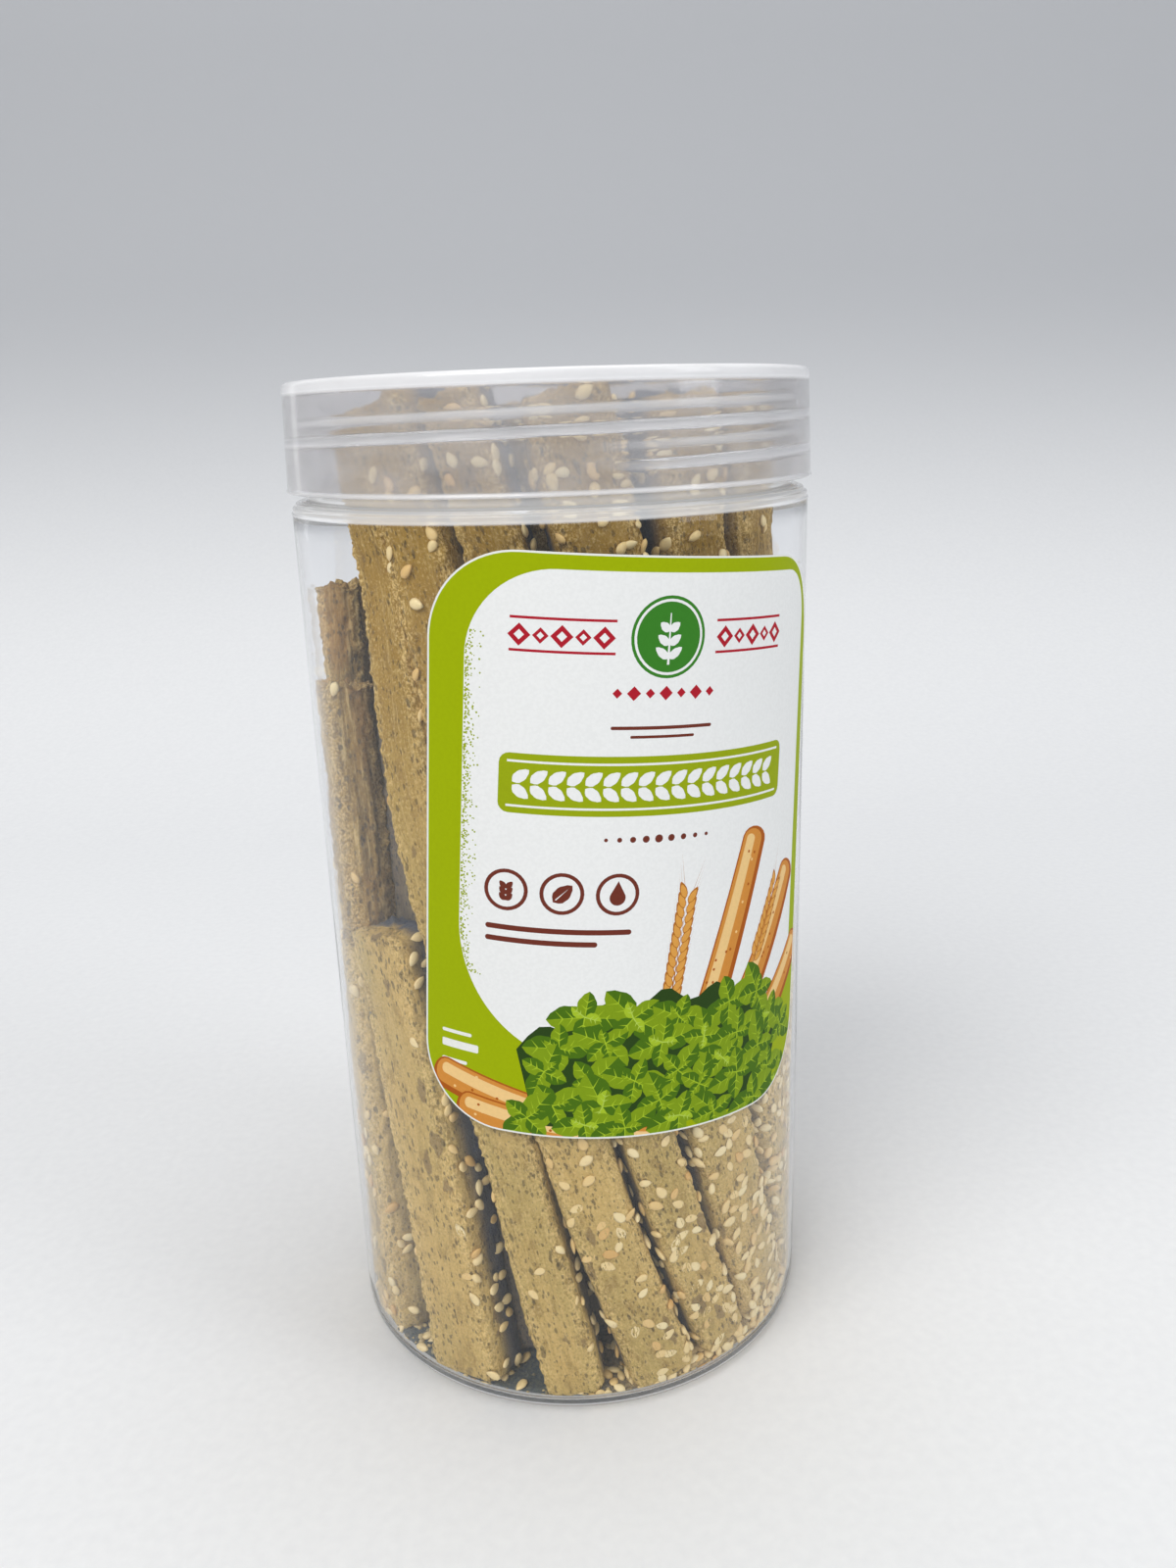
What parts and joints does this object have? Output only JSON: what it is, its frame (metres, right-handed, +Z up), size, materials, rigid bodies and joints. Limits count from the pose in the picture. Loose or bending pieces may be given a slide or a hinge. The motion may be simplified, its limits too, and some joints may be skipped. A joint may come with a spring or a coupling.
{
  "type": "jar of bread sticks",
  "caption": "Clear round screw-lid jar with a wrapped front label, packed full of long seeded bread sticks that stand on end and lean round its wall.",
  "frame": {"origin": "centre of the jar's base, on the surface that it stands on", "axes": "+Z up along the jar's axis, towards the lid; the middle of the label faces -Y, turned a little towards +X"},
  "size_m": [0.1008, 0.1008, 0.198],
  "materials": {
    "clear_plastic": "clear, thin moulded plastic with a high gloss",
    "milky_plastic": "translucent natural plastic, satin",
    "label_paper": "printed label in lime green and white, satin",
    "baked_dough": "baked dough with herbs and sesame seeds, matte"
  },
  "bodies": {
    "root": {"jar": "clear_plastic", "lid": "milky_plastic", "label": "label_paper", "bread_sticks": "baked_dough"}
  },
  "joints": []
}
